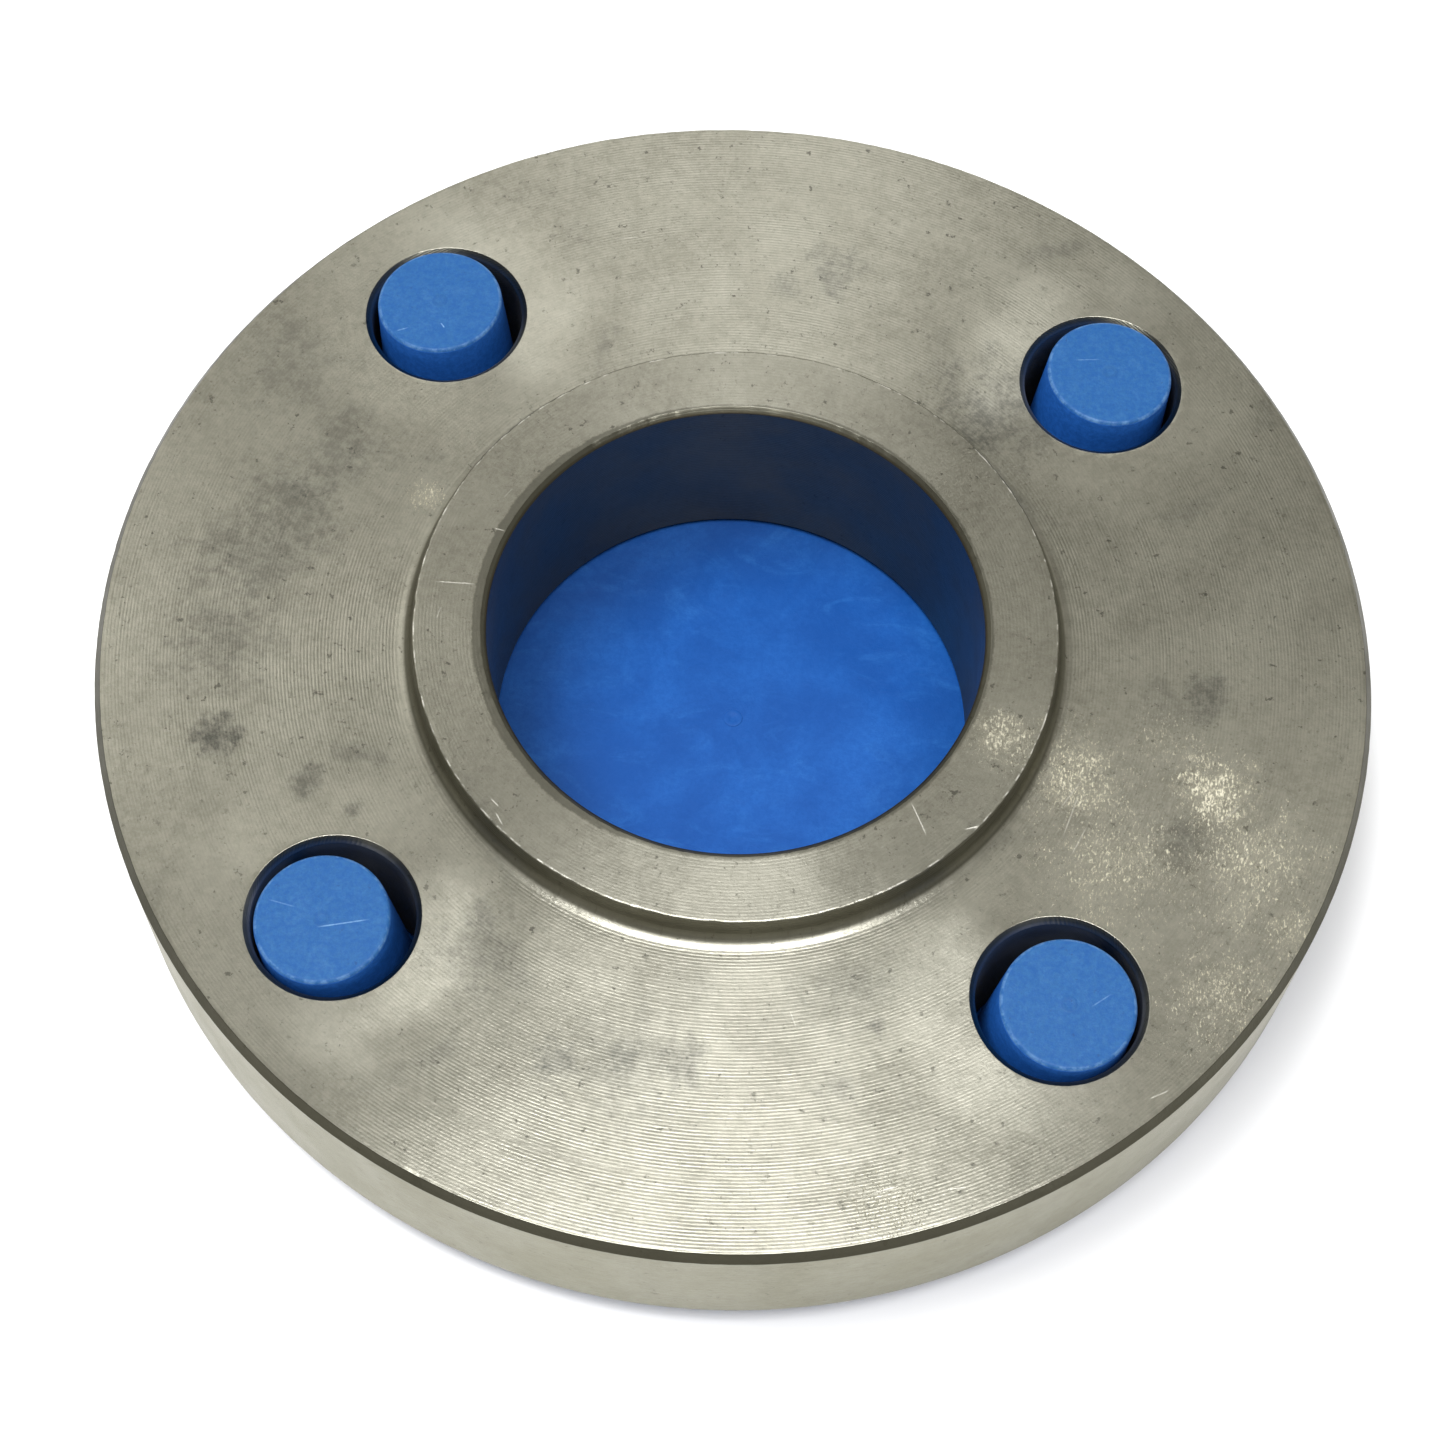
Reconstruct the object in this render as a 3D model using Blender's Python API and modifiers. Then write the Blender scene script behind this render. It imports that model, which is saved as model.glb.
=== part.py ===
"""Slip-on pipe flange, lying sealing face down on its push-in plastic protector.

Run with "blender --background --python part.py", or from Blender's text editor.

Metres, +Z up along the flange's axis. The origin is the centre of the protector's
underside, the face that the object rests on. The flange is a class 150 pattern for
1 1/2 inch pipe. Its hub looks up and its raised sealing face looks down.
"""

from math import atan2, cos, pi, radians, sin

import bpy

MM = 0.001

# Flange
FLANGE_RADIUS = 64.0 * MM
RIM_THICKNESS = 17.9 * MM
RIM_CHAMFER_WIDTH = 0.7 * MM
RIM_CHAMFER_DEPTH = 1.0 * MM
RAISED_FACE_RADIUS = 36.6 * MM
RAISED_FACE_HEIGHT = 1.6 * MM
HUB_HEIGHT = 3.1 * MM
HUB_TOP_RADIUS = 32.2 * MM
HUB_FOOT_RADIUS = 32.5 * MM
HUB_EDGE_BREAK = 0.2 * MM
HUB_FILLET = 1.6 * MM
BORE_RADIUS = 24.85 * MM
BORE_CHAMFER = 0.55 * MM

# Bolt holes, in the flange and for the pegs
HOLE_COUNT = 4
FIRST_HOLE_ANGLE = radians(45)
BOLT_CIRCLE_RADIUS = 49.2 * MM
HOLE_RADIUS = 7.95 * MM
HOLE_CHAMFER = 0.6 * MM

# Protector
DISC_RADIUS = 62.0 * MM
DISC_THICKNESS = 2.0 * MM
DISC_EDGE_RADIUS = 0.6 * MM
PEG_FOOT_RADIUS = 7.7 * MM
PEG_TIP_RADIUS = 6.55 * MM
PEG_TIP_ROUNDING = 0.5 * MM
PEG_TIP_RISE = 1.3 * MM       # how far the tips stand above the flange's back face
PEG_TIP_OUT = 1.1 * MM        # how far the pegs lean outwards at the tip
PEG_FLARE = 0.9 * MM          # cone where a peg meets the disc
PEG_WALL = 1.7 * MM

# Fit and resolution
TOUCH_GAP = 0.3 * MM          # between the sealing face and the disc
CUT_MARGIN = 2.0 * MM         # how far a cutter reaches past the face that it cuts
FLANGE_SEGMENTS = 96
DISC_SEGMENTS = 72
HOLE_SEGMENTS = 40
PEG_SEGMENTS = 32
ARC_STEPS = 3
SHARP_ANGLE = radians(30)
MERGE_DISTANCE = 0.01 * MM

# Heights above the origin, from the ground up
SEALING_FACE_Z = DISC_THICKNESS + TOUCH_GAP
FRONT_FACE_Z = SEALING_FACE_Z + RAISED_FACE_HEIGHT
BACK_FACE_Z = FRONT_FACE_Z + RIM_THICKNESS
HUB_TOP_Z = BACK_FACE_Z + HUB_HEIGHT
PEG_HEIGHT = BACK_FACE_Z + PEG_TIP_RISE - DISC_THICKNESS
PEG_LEAN = atan2(PEG_TIP_OUT, PEG_HEIGHT)


def arc(center, radius, start, end):
    """Points (distance from the axis, height) of an arc, both of its ends included."""
    angles = [radians(start + (end - start) * i / ARC_STEPS) for i in range(ARC_STEPS + 1)]
    return [(center[0] + radius * cos(a), center[1] + radius * sin(a)) for a in angles]


def flange_section():
    """The flange's half section: out over the hub, down the rim, in under it, up the bore."""
    foot = (HUB_FOOT_RADIUS + HUB_FILLET, BACK_FACE_Z + HUB_FILLET)
    return [
        (BORE_RADIUS + BORE_CHAMFER, HUB_TOP_Z),
        (HUB_TOP_RADIUS - HUB_EDGE_BREAK, HUB_TOP_Z),
        (HUB_TOP_RADIUS, HUB_TOP_Z - HUB_EDGE_BREAK),
        *arc(foot, HUB_FILLET, 180, 270),
        (FLANGE_RADIUS - RIM_CHAMFER_WIDTH, BACK_FACE_Z),
        (FLANGE_RADIUS, BACK_FACE_Z - RIM_CHAMFER_DEPTH),
        (FLANGE_RADIUS, FRONT_FACE_Z + RIM_CHAMFER_DEPTH),
        (FLANGE_RADIUS - RIM_CHAMFER_WIDTH, FRONT_FACE_Z),
        (RAISED_FACE_RADIUS, FRONT_FACE_Z),
        (RAISED_FACE_RADIUS, SEALING_FACE_Z),
        (BORE_RADIUS + BORE_CHAMFER, SEALING_FACE_Z),
        (BORE_RADIUS, SEALING_FACE_Z + BORE_CHAMFER),
        (BORE_RADIUS, HUB_TOP_Z - BORE_CHAMFER),
    ]


def bolt_hole_section():
    """A bolt hole, chamfered where it meets the back face and the front face."""
    wide = HOLE_RADIUS + HOLE_CHAMFER
    return [
        (0.0, BACK_FACE_Z + CUT_MARGIN),
        (wide, BACK_FACE_Z + CUT_MARGIN),
        (wide, BACK_FACE_Z),
        (HOLE_RADIUS, BACK_FACE_Z - HOLE_CHAMFER),
        (HOLE_RADIUS, FRONT_FACE_Z + HOLE_CHAMFER),
        (wide, FRONT_FACE_Z),
        (wide, FRONT_FACE_Z - CUT_MARGIN),
        (0.0, FRONT_FACE_Z - CUT_MARGIN),
    ]


def disc_section():
    """The protector's disc, with a rounded upper and lower edge."""
    edge = DISC_RADIUS - DISC_EDGE_RADIUS
    return [
        (0.0, DISC_THICKNESS),
        *arc((edge, DISC_THICKNESS - DISC_EDGE_RADIUS), DISC_EDGE_RADIUS, 90, 0),
        *arc((edge, DISC_EDGE_RADIUS), DISC_EDGE_RADIUS, 0, -90),
        (0.0, 0.0),
    ]


def peg_section():
    """A peg about its own axis: rounded tip, tapered side, flared foot set into the disc.

    Height 0 is the disc's upper face.
    """
    shoulder = (PEG_TIP_RADIUS - PEG_TIP_ROUNDING, PEG_HEIGHT - PEG_TIP_ROUNDING)
    return [
        (0.0, PEG_HEIGHT),
        *arc(shoulder, PEG_TIP_ROUNDING, 90, 0),
        (PEG_FOOT_RADIUS, PEG_FLARE),
        (PEG_FOOT_RADIUS + PEG_FLARE, 0.0),
        (PEG_FOOT_RADIUS + PEG_FLARE, -DISC_THICKNESS / 2),
        (0.0, -DISC_THICKNESS / 2),
    ]


def peg_hollow_section():
    """The hollow inside a peg, open through the disc's underside."""
    return [
        (0.0, PEG_HEIGHT - PEG_WALL),
        (PEG_TIP_RADIUS - 1.5 * PEG_WALL, PEG_HEIGHT - PEG_WALL),
        (PEG_TIP_RADIUS - PEG_WALL, PEG_HEIGHT - 1.5 * PEG_WALL),
        (PEG_FOOT_RADIUS - PEG_WALL, 0.0),
        (PEG_FOOT_RADIUS - PEG_WALL, -DISC_THICKNESS - CUT_MARGIN),
        (0.0, -DISC_THICKNESS - CUT_MARGIN),
    ]


def turned(name, section, segments, collection):
    """A solid of revolution about Z. A section that starts off the axis is a closed ring."""
    points = [(distance, 0.0, height) for distance, height in section]
    edges = [(i, i + 1) for i in range(len(points) - 1)]
    if section[0][0] > 0.0:
        edges.append((len(points) - 1, 0))
    mesh = bpy.data.meshes.new(name)
    mesh.from_pydata(points, edges, [])
    solid = bpy.data.objects.new(name, mesh)
    collection.objects.link(solid)
    screw = solid.modifiers.new("turn", "SCREW")
    screw.steps = segments
    screw.render_steps = segments
    screw.use_merge_vertices = True
    screw.merge_threshold = MERGE_DISTANCE
    return solid


def around_bolt_circle(name, section, segments, collection, height=0.0, lean=0.0):
    """One turned solid at each bolt hole, leaning outwards by the given angle."""
    solids = []
    for i in range(HOLE_COUNT):
        angle = FIRST_HOLE_ANGLE + 2 * pi * i / HOLE_COUNT
        solid = turned(f"{name}_{i + 1}", section, segments, collection)
        solid.location = (BOLT_CIRCLE_RADIUS * cos(angle), BOLT_CIRCLE_RADIUS * sin(angle), height)
        solid.rotation_euler = (0.0, lean, angle)
        solid.hide_render = True
        solid.display_type = "WIRE"
        solids.append(solid)
    return solids


def combine(solid, tools, operation):
    """Add a Boolean modifier to the solid for each of the tools."""
    for tool in tools:
        boolean = solid.modifiers.new(tool.name, "BOOLEAN")
        boolean.operation = operation
        boolean.object = tool


def finish_mesh(solid):
    """Turn the modifiers' result into the solid's mesh, smooth with sharp corners."""
    graph = bpy.context.evaluated_depsgraph_get()
    mesh = bpy.data.meshes.new_from_object(solid.evaluated_get(graph))
    solid.modifiers.clear()
    solid.data = mesh
    mesh.shade_smooth()
    mesh.set_sharp_from_angle(angle=SHARP_ANGLE)


def paint(solid, name, color, roughness, metallic):
    """Give the solid a Principled material."""
    material = bpy.data.materials.new(name)
    material.use_nodes = True
    shader = material.node_tree.nodes["Principled BSDF"]
    shader.inputs["Base Color"].default_value = (*color, 1.0)
    shader.inputs["Roughness"].default_value = roughness
    shader.inputs["Metallic"].default_value = metallic
    solid.data.materials.clear()
    solid.data.materials.append(material)


def make_flange(parts, cutters):
    """The forging: rim, hub, raised face and bore in one section, and the drilled holes."""
    flange = turned("slip_on_flange", flange_section(), FLANGE_SEGMENTS, parts)
    holes = around_bolt_circle("bolt_hole", bolt_hole_section(), HOLE_SEGMENTS, cutters)
    combine(flange, holes, "DIFFERENCE")
    finish_mesh(flange)
    paint(flange, "turned_stainless", (0.46, 0.44, 0.39), 0.38, 1.0)
    return flange


def make_protector(parts, cutters):
    """The moulding: a disc with four hollow pegs that lean slightly outwards."""
    protector = turned("flange_protector", disc_section(), DISC_SEGMENTS, parts)
    placing = (PEG_SEGMENTS, cutters, DISC_THICKNESS, PEG_LEAN)
    pegs = around_bolt_circle("peg", peg_section(), *placing)
    hollows = around_bolt_circle("peg_hollow", peg_hollow_section(), *placing)
    combine(protector, pegs, "UNION")
    combine(protector, hollows, "DIFFERENCE")
    finish_mesh(protector)
    paint(protector, "blue_polyethylene", (0.02, 0.14, 0.62), 0.45, 0.0)
    return protector


def main():
    for leftover in list(bpy.data.objects):
        bpy.data.objects.remove(leftover, do_unlink=True)
    parts = bpy.data.collections.new("slip_on_flange_with_protector")
    cutters = bpy.data.collections.new("cutters")
    for collection in (parts, cutters):
        bpy.context.scene.collection.children.link(collection)
    make_flange(parts, cutters)
    make_protector(parts, cutters)


main()
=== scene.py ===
"""Looks of a slip-on pipe flange lying on its push-in protector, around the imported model."""

from math import atan2, cos, pi, radians, sin, tan

import bmesh
import bpy
from mathutils import Matrix, Quaternion, Vector, noise


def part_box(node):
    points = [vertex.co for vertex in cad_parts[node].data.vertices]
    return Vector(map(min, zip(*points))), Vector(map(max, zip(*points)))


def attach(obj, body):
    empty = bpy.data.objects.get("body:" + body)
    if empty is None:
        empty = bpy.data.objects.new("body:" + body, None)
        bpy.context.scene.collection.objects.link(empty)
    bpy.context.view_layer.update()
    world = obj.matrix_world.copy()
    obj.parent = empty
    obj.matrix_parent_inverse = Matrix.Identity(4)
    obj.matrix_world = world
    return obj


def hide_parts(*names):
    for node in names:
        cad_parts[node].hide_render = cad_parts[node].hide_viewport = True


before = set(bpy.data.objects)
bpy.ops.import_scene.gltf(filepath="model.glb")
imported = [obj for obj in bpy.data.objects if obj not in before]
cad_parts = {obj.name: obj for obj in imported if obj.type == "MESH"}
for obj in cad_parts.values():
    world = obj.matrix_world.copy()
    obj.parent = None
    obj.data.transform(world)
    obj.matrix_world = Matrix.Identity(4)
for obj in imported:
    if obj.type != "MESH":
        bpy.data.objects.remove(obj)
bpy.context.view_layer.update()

MM = 0.001

# Sizes that the frame's boxes don't give
RIM_CHAMFER = (0.7 * MM, 1.0 * MM)
RAISED_FACE_RADIUS = 36.6 * MM
RAISED_FACE_HEIGHT = 1.6 * MM
HUB_HEIGHT = 3.1 * MM
HUB_TOP_RADIUS = 32.2 * MM
HUB_FOOT_RADIUS = 32.5 * MM
HUB_FILLET = 1.6 * MM
BORE_RADIUS = 24.85 * MM
BORE_CHAMFER = 0.55 * MM
HOLE_COUNT = 4
FIRST_HOLE_ANGLE = radians(45)
BOLT_CIRCLE_RADIUS = 49.2 * MM
HOLE_RADIUS = 7.95 * MM
HOLE_CHAMFER = 0.6 * MM
DISC_THICKNESS = 2.0 * MM
DISC_EDGE_RADIUS = 0.6 * MM
PEG_FOOT_RADIUS = 7.7 * MM
PEG_TIP_RADIUS = 6.55 * MM
PEG_TIP_ROUNDING = 0.5 * MM
PEG_TIP_OUT = 1.1 * MM
PEG_TIP_RISE = 1.3 * MM
PEG_FLARE = 0.9 * MM
PEG_WALL = 1.7 * MM

# Fine shape, finer than the CAD model
EDGE_ROUND = 0.12 * MM
BURR = 0.09 * MM
SERRATION_PITCH = 0.8 * MM
SERRATION_DEPTH = 0.05 * MM
TURNING_PITCH = 0.34 * MM
GATE_MARK_RADIUS = 1.0 * MM
GATE_MARK_HEIGHT = 0.12 * MM
GATE_MARK_PLACE = (0.1 * MM, 0.8 * MM)
TIP_GATE_RADIUS = 0.6 * MM
WASHER_RADIUS = 17.5 * MM     # the arcs that washers have left round the bolt holes
BURR_ROUGHNESS_SCALE = 1300.0

# Listed marks: azimuth in degrees, distance from the axis, reach, strength from 0 to 1
STAINS = (
    (83, 45.4 * MM, 4.5 * MM, 0.6), (89, 43.0 * MM, 2.5 * MM, 0.5), (56, 39.0 * MM, 2.2 * MM, 0.8),
    (52, 38.0 * MM, 9.0 * MM, 0.75), (152, 56.0 * MM, 9.0 * MM, 0.35), (159, 45.5 * MM, 8.0 * MM, 0.45),
    (168, 47.5 * MM, 9.0 * MM, 0.55), (177, 49.5 * MM, 9.0 * MM, 0.5), (187, 51.5 * MM, 8.0 * MM, 0.5),
    (158, 44.5 * MM, 3.4 * MM, 0.6), (166, 47.7 * MM, 3.8 * MM, 0.7), (199, 52.5 * MM, 3.4 * MM, 0.95),
    (208, 45.0 * MM, 2.5 * MM, 0.6), (214, 42.0 * MM, 1.4 * MM, 0.7), (-1, 47.7 * MM, 4.2 * MM, 0.7),
    (-20, 49.5 * MM, 5.0 * MM, 0.8), (-97, 46.0 * MM, 9.0 * MM, 0.4), (-104, 47.8 * MM, 3.4 * MM, 0.95),
    (-97, 45.6 * MM, 3.4 * MM, 0.7), (-90, 45.8 * MM, 3.8 * MM, 0.75), (-118, 42.0 * MM, 7.0 * MM, 0.5),
    (-122, 39.0 * MM, 3.0 * MM, 0.6), (-66, 43.2 * MM, 1.6 * MM, 0.9), (-72, 48.5 * MM, 3.0 * MM, 0.5),
    (-68, 38.5 * MM, 6.0 * MM, 0.35), (-88, 37.0 * MM, 4.0 * MM, 0.25), (-4, 44.0 * MM, 5.0 * MM, 0.35),
)
GLINTS = (
    (-18, 36.5 * MM, 8.0 * MM, 0.75), (-13, 49.8 * MM, 7.0 * MM, 1.0), (-20, 55.0 * MM, 12.0 * MM, 0.6),
    (-19, 28.5 * MM, 5.0 * MM, 0.8), (-27, 44.0 * MM, 12.0 * MM, 0.55), (-33, 60.0 * MM, 9.0 * MM, 0.55),
    (-24, 61.5 * MM, 5.0 * MM, 0.6), (-8, 44.0 * MM, 6.0 * MM, 0.4),
    (-70, 60.0 * MM, 6.0 * MM, 0.35), (160, 35.5 * MM, 3.0 * MM, 0.6),
)

# Nicks: azimuth in degrees, distance from the axis, height above the back face, reach, depth
NICKS = (
    (-111, 63.6 * MM, 0.0 * MM, 0.9 * MM, 0.20 * MM), (-58, 63.5 * MM, 0.0 * MM, 0.6 * MM, 0.10 * MM),
    (-38, 32.2 * MM, 3.1 * MM, 0.8 * MM, 0.15 * MM), (-128, 32.1 * MM, 3.1 * MM, 0.6 * MM, 0.10 * MM),
    (38, 63.6 * MM, 0.0 * MM, 0.7 * MM, 0.10 * MM),
)

# Fine scratches: azimuth in degrees, distance from the axis, heading in degrees, length, strength
SCRATCHES = (
    (-44, 27.6 * MM, -62, 4.2 * MM, 0.6), (-130, 31.4 * MM, -55, 1.6 * MM, 0.8),
    (-133, 30.6 * MM, -40, 1.2 * MM, 0.8), (-38, 31.6 * MM, 20, 1.4 * MM, 0.8),
    (178, 28.4 * MM, 3, 4.6 * MM, 0.6), (185, 29.6 * MM, 80, 1.6 * MM, 0.4),
    (163, 26.0 * MM, -10, 1.2 * MM, 0.8), (154, 27.4 * MM, 60, 1.5 * MM, 0.3),
    (-70, 58.8 * MM, 22, 2.6 * MM, 0.7), (-64, 60.5 * MM, 15, 1.8 * MM, 0.5),
    (-76, 41.0 * MM, 115, 2.0 * MM, 0.35), (-24, 38.0 * MM, 75, 5.5 * MM, 0.45),
    (-21, 37.0 * MM, 60, 4.5 * MM, 0.4), (-27, 40.0 * MM, 68, 4.0 * MM, 0.35),
    (-44, 62.0 * MM, 30, 2.4 * MM, 0.5), (-15, 52.0 * MM, 50, 3.5 * MM, 0.35),
    (110, 50.0 * MM, 10, 3.0 * MM, 0.25),
)
TIP_SCRATCHES = (
    (-133, 49.0 * MM, 15, 5.5 * MM, 0.6), (-139, 52.5 * MM, -10, 3.0 * MM, 0.3),
    (-42, 52.0 * MM, 40, 2.5 * MM, 0.35), (48, 49.5 * MM, 10, 3.0 * MM, 0.3),
    (137, 47.5 * MM, -50, 0.8 * MM, 0.9), (141, 50.0 * MM, 25, 1.4 * MM, 0.5),
)
SCRATCH_WIDTH = 0.09 * MM
SCRATCH_CORE = 0.03 * MM

# Resolution
FACE_RING_SPACING = 1.2 * MM
EDGE_SUPPORT = 0.4 * MM
FLANGE_SEGMENTS = 480
HOLE_SEGMENTS = 144
DISC_SEGMENTS = 288
PEG_SEGMENTS = 120
GATE_MARK_SEGMENTS = 48
CORNER_STEPS = 4
SHARP_ANGLE = radians(32)
CUT_MARGIN = 2.0 * MM
TINY = 0.001 * MM

# Camera: its azimuth is from the front, and it looks at a point on the flange's back face
LENS = 71.39
SENSOR = 36.0
CAMERA_AZIMUTH = radians(4.31)
CAMERA_ELEVATION = radians(63.67)
CAMERA_ROLL = radians(2.503)
CAMERA_DISTANCE = 283.4 * MM
CAMERA_AIM = (-0.2 * MM, -9.64 * MM)

# Heights, from the frame
flange_low, flange_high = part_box("slip_on_flange")
protector_low, protector_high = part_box("flange_protector")
FLANGE_RADIUS = flange_high.x
DISC_RADIUS = protector_high.x
SEALING_FACE_Z = flange_low.z
HUB_TOP_Z = flange_high.z
FRONT_FACE_Z = SEALING_FACE_Z + RAISED_FACE_HEIGHT
BACK_FACE_Z = HUB_TOP_Z - HUB_HEIGHT
FLOOR_Z = protector_low.z
DISC_TOP_Z = FLOOR_Z + DISC_THICKNESS
PEG_TIP_Z = BACK_FACE_Z + PEG_TIP_RISE
PEG_HEIGHT = PEG_TIP_Z - DISC_TOP_Z
PEG_LEAN = atan2(PEG_TIP_OUT, PEG_HEIGHT)


# ---------------------------------------------------------------- mesh helpers

def rounded(corners, steps=CORNER_STEPS):
    """An outline from corners (distance, height, radius); each corner with a radius is an arc."""
    outline = []
    for i, (x, z, radius) in enumerate(corners):
        here = Vector((x, z))
        if radius <= 0.0:
            outline.append(here)
            continue
        back = (Vector(corners[i - 1][:2]) - here).normalized()
        ahead = (Vector(corners[(i + 1) % len(corners)][:2]) - here).normalized()
        half_turn = back.angle(ahead) / 2
        centre = here + (back + ahead).normalized() * (radius / sin(half_turn))
        start = here + back * (radius / tan(half_turn)) - centre
        end = here + ahead * (radius / tan(half_turn)) - centre
        first = atan2(start.y, start.x)
        sweep = (atan2(end.y, end.x) - first + pi) % (2 * pi) - pi
        for k in range(steps + 1):
            angle = first + sweep * k / steps
            outline.append(centre + radius * Vector((cos(angle), sin(angle))))
    return outline


def lathe(name, outline, segments):
    """A closed mesh turned about Z. An outline that starts off the axis is a closed ring."""
    shape = bmesh.new()
    verts = [shape.verts.new((p.x, 0.0, p.y)) for p in outline]
    edges = [shape.edges.new(pair) for pair in zip(verts, verts[1:])]
    if outline[0].x > TINY:
        edges.append(shape.edges.new((verts[-1], verts[0])))
    bmesh.ops.spin(shape, geom=verts + edges, cent=(0, 0, 0), axis=(0, 0, 1),
                   angle=2 * pi, steps=segments, use_merge=True)
    bmesh.ops.remove_doubles(shape, verts=shape.verts, dist=TINY)
    bmesh.ops.recalc_face_normals(shape, faces=shape.faces)
    mesh = bpy.data.meshes.new(name)
    shape.to_mesh(mesh)
    shape.free()
    piece = bpy.data.objects.new(name, mesh)
    bpy.context.scene.collection.objects.link(piece)
    return piece


def on_bolt_circle(name, outline, segments, height=0.0, lean=0.0, shape_noise=None):
    """One object holding a turned solid at each bolt hole, leaning outwards."""
    joined = bmesh.new()
    for i in range(HOLE_COUNT):
        angle = FIRST_HOLE_ANGLE + 2 * pi * i / HOLE_COUNT
        solid = lathe(name, outline, segments)
        if shape_noise:
            shape_noise(solid.data, i)
        solid.location = (BOLT_CIRCLE_RADIUS * cos(angle), BOLT_CIRCLE_RADIUS * sin(angle), height)
        solid.rotation_euler = (0.0, lean, angle)
        bpy.context.view_layer.update()
        solid.data.transform(solid.matrix_world)
        joined.from_mesh(solid.data)
        bpy.data.objects.remove(solid)
    mesh = bpy.data.meshes.new(name)
    joined.to_mesh(mesh)
    joined.free()
    piece = bpy.data.objects.new(name, mesh)
    bpy.context.scene.collection.objects.link(piece)
    return piece


def boolean(piece, tool, operation):
    """Apply a Boolean to the piece's mesh, and remove the tool."""
    modifier = piece.modifiers.new("boolean", "BOOLEAN")
    modifier.operation = operation
    modifier.object = tool
    graph = bpy.context.evaluated_depsgraph_get()
    mesh = bpy.data.meshes.new_from_object(piece.evaluated_get(graph))
    piece.modifiers.clear()
    piece.data = mesh
    bpy.data.objects.remove(tool)


def smooth(piece):
    """Smooth shading that keeps corners sharp and flat faces flat."""
    piece.data.shade_smooth()
    piece.data.set_sharp_from_angle(angle=SHARP_ANGLE)
    weighted = piece.modifiers.new("flat_faces", "WEIGHTED_NORMAL")
    weighted.keep_sharp = True


# ---------------------------------------------------------------- flange

def serrations():
    """The sealing face's shallow gasket grooves, from the raised face's edge in to the bore."""
    groove = RAISED_FACE_RADIUS - SERRATION_PITCH
    corners = []
    while groove > BORE_RADIUS + BORE_CHAMFER + SERRATION_PITCH:
        corners += [
            (groove + SERRATION_PITCH * 0.4, SEALING_FACE_Z, 0.0),
            (groove, SEALING_FACE_Z + SERRATION_DEPTH, 0.0),
            (groove - SERRATION_PITCH * 0.4, SEALING_FACE_Z, 0.0),
        ]
        groove -= SERRATION_PITCH
    return corners


def face_rings(start, end, height):
    """Points across a flat ring: close together beside its edges, to keep their burrs local."""
    inwards = 1.0 if end > start else -1.0
    near = start + inwards * EDGE_SUPPORT
    far = end - inwards * EDGE_SUPPORT
    count = max(2, round(abs(far - near) / FACE_RING_SPACING))
    return [(near + (far - near) * i / count, height, 0.0) for i in range(count + 1)]


def flange_outline():
    width, depth = RIM_CHAMFER
    rim_edge = FLANGE_RADIUS - width
    foot_end = HUB_FOOT_RADIUS + HUB_FILLET
    return rounded([
        (BORE_RADIUS + BORE_CHAMFER, HUB_TOP_Z, EDGE_ROUND / 2),
        *face_rings(BORE_RADIUS + BORE_CHAMFER, HUB_TOP_RADIUS, HUB_TOP_Z),
        (HUB_TOP_RADIUS, HUB_TOP_Z, EDGE_ROUND * 2),
        (HUB_FOOT_RADIUS, BACK_FACE_Z, HUB_FILLET),
        *face_rings(foot_end, rim_edge, BACK_FACE_Z),
        (rim_edge, BACK_FACE_Z, EDGE_ROUND),
        (FLANGE_RADIUS, BACK_FACE_Z - depth, EDGE_ROUND),
        (FLANGE_RADIUS, FRONT_FACE_Z + depth, EDGE_ROUND),
        (rim_edge, FRONT_FACE_Z, EDGE_ROUND),
        *face_rings(rim_edge, RAISED_FACE_RADIUS, FRONT_FACE_Z),
        (RAISED_FACE_RADIUS, FRONT_FACE_Z, EDGE_ROUND * 2),
        (RAISED_FACE_RADIUS, SEALING_FACE_Z, EDGE_ROUND),
        *serrations(),
        (BORE_RADIUS + BORE_CHAMFER, SEALING_FACE_Z, EDGE_ROUND / 2),
        (BORE_RADIUS, SEALING_FACE_Z + BORE_CHAMFER, EDGE_ROUND),
        (BORE_RADIUS, HUB_TOP_Z - BORE_CHAMFER, EDGE_ROUND),
    ])


def hole_outline():
    """A drilled hole with a softly broken chamfer at each face."""
    wide = HOLE_RADIUS + HOLE_CHAMFER
    lip = CUT_MARGIN / 20
    return rounded([
        (0.0, BACK_FACE_Z + CUT_MARGIN, 0.0),
        (wide + CUT_MARGIN, BACK_FACE_Z + CUT_MARGIN, 0.0),
        (wide + CUT_MARGIN, BACK_FACE_Z + lip, 0.0),
        (wide, BACK_FACE_Z, EDGE_ROUND),
        (HOLE_RADIUS, BACK_FACE_Z - HOLE_CHAMFER, EDGE_ROUND),
        (HOLE_RADIUS, FRONT_FACE_Z + HOLE_CHAMFER, EDGE_ROUND),
        (wide, FRONT_FACE_Z, EDGE_ROUND),
        (wide + CUT_MARGIN, FRONT_FACE_Z - lip, 0.0),
        (wide + CUT_MARGIN, FRONT_FACE_Z - CUT_MARGIN, 0.0),
        (0.0, FRONT_FACE_Z - CUT_MARGIN, 0.0),
    ])


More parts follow.
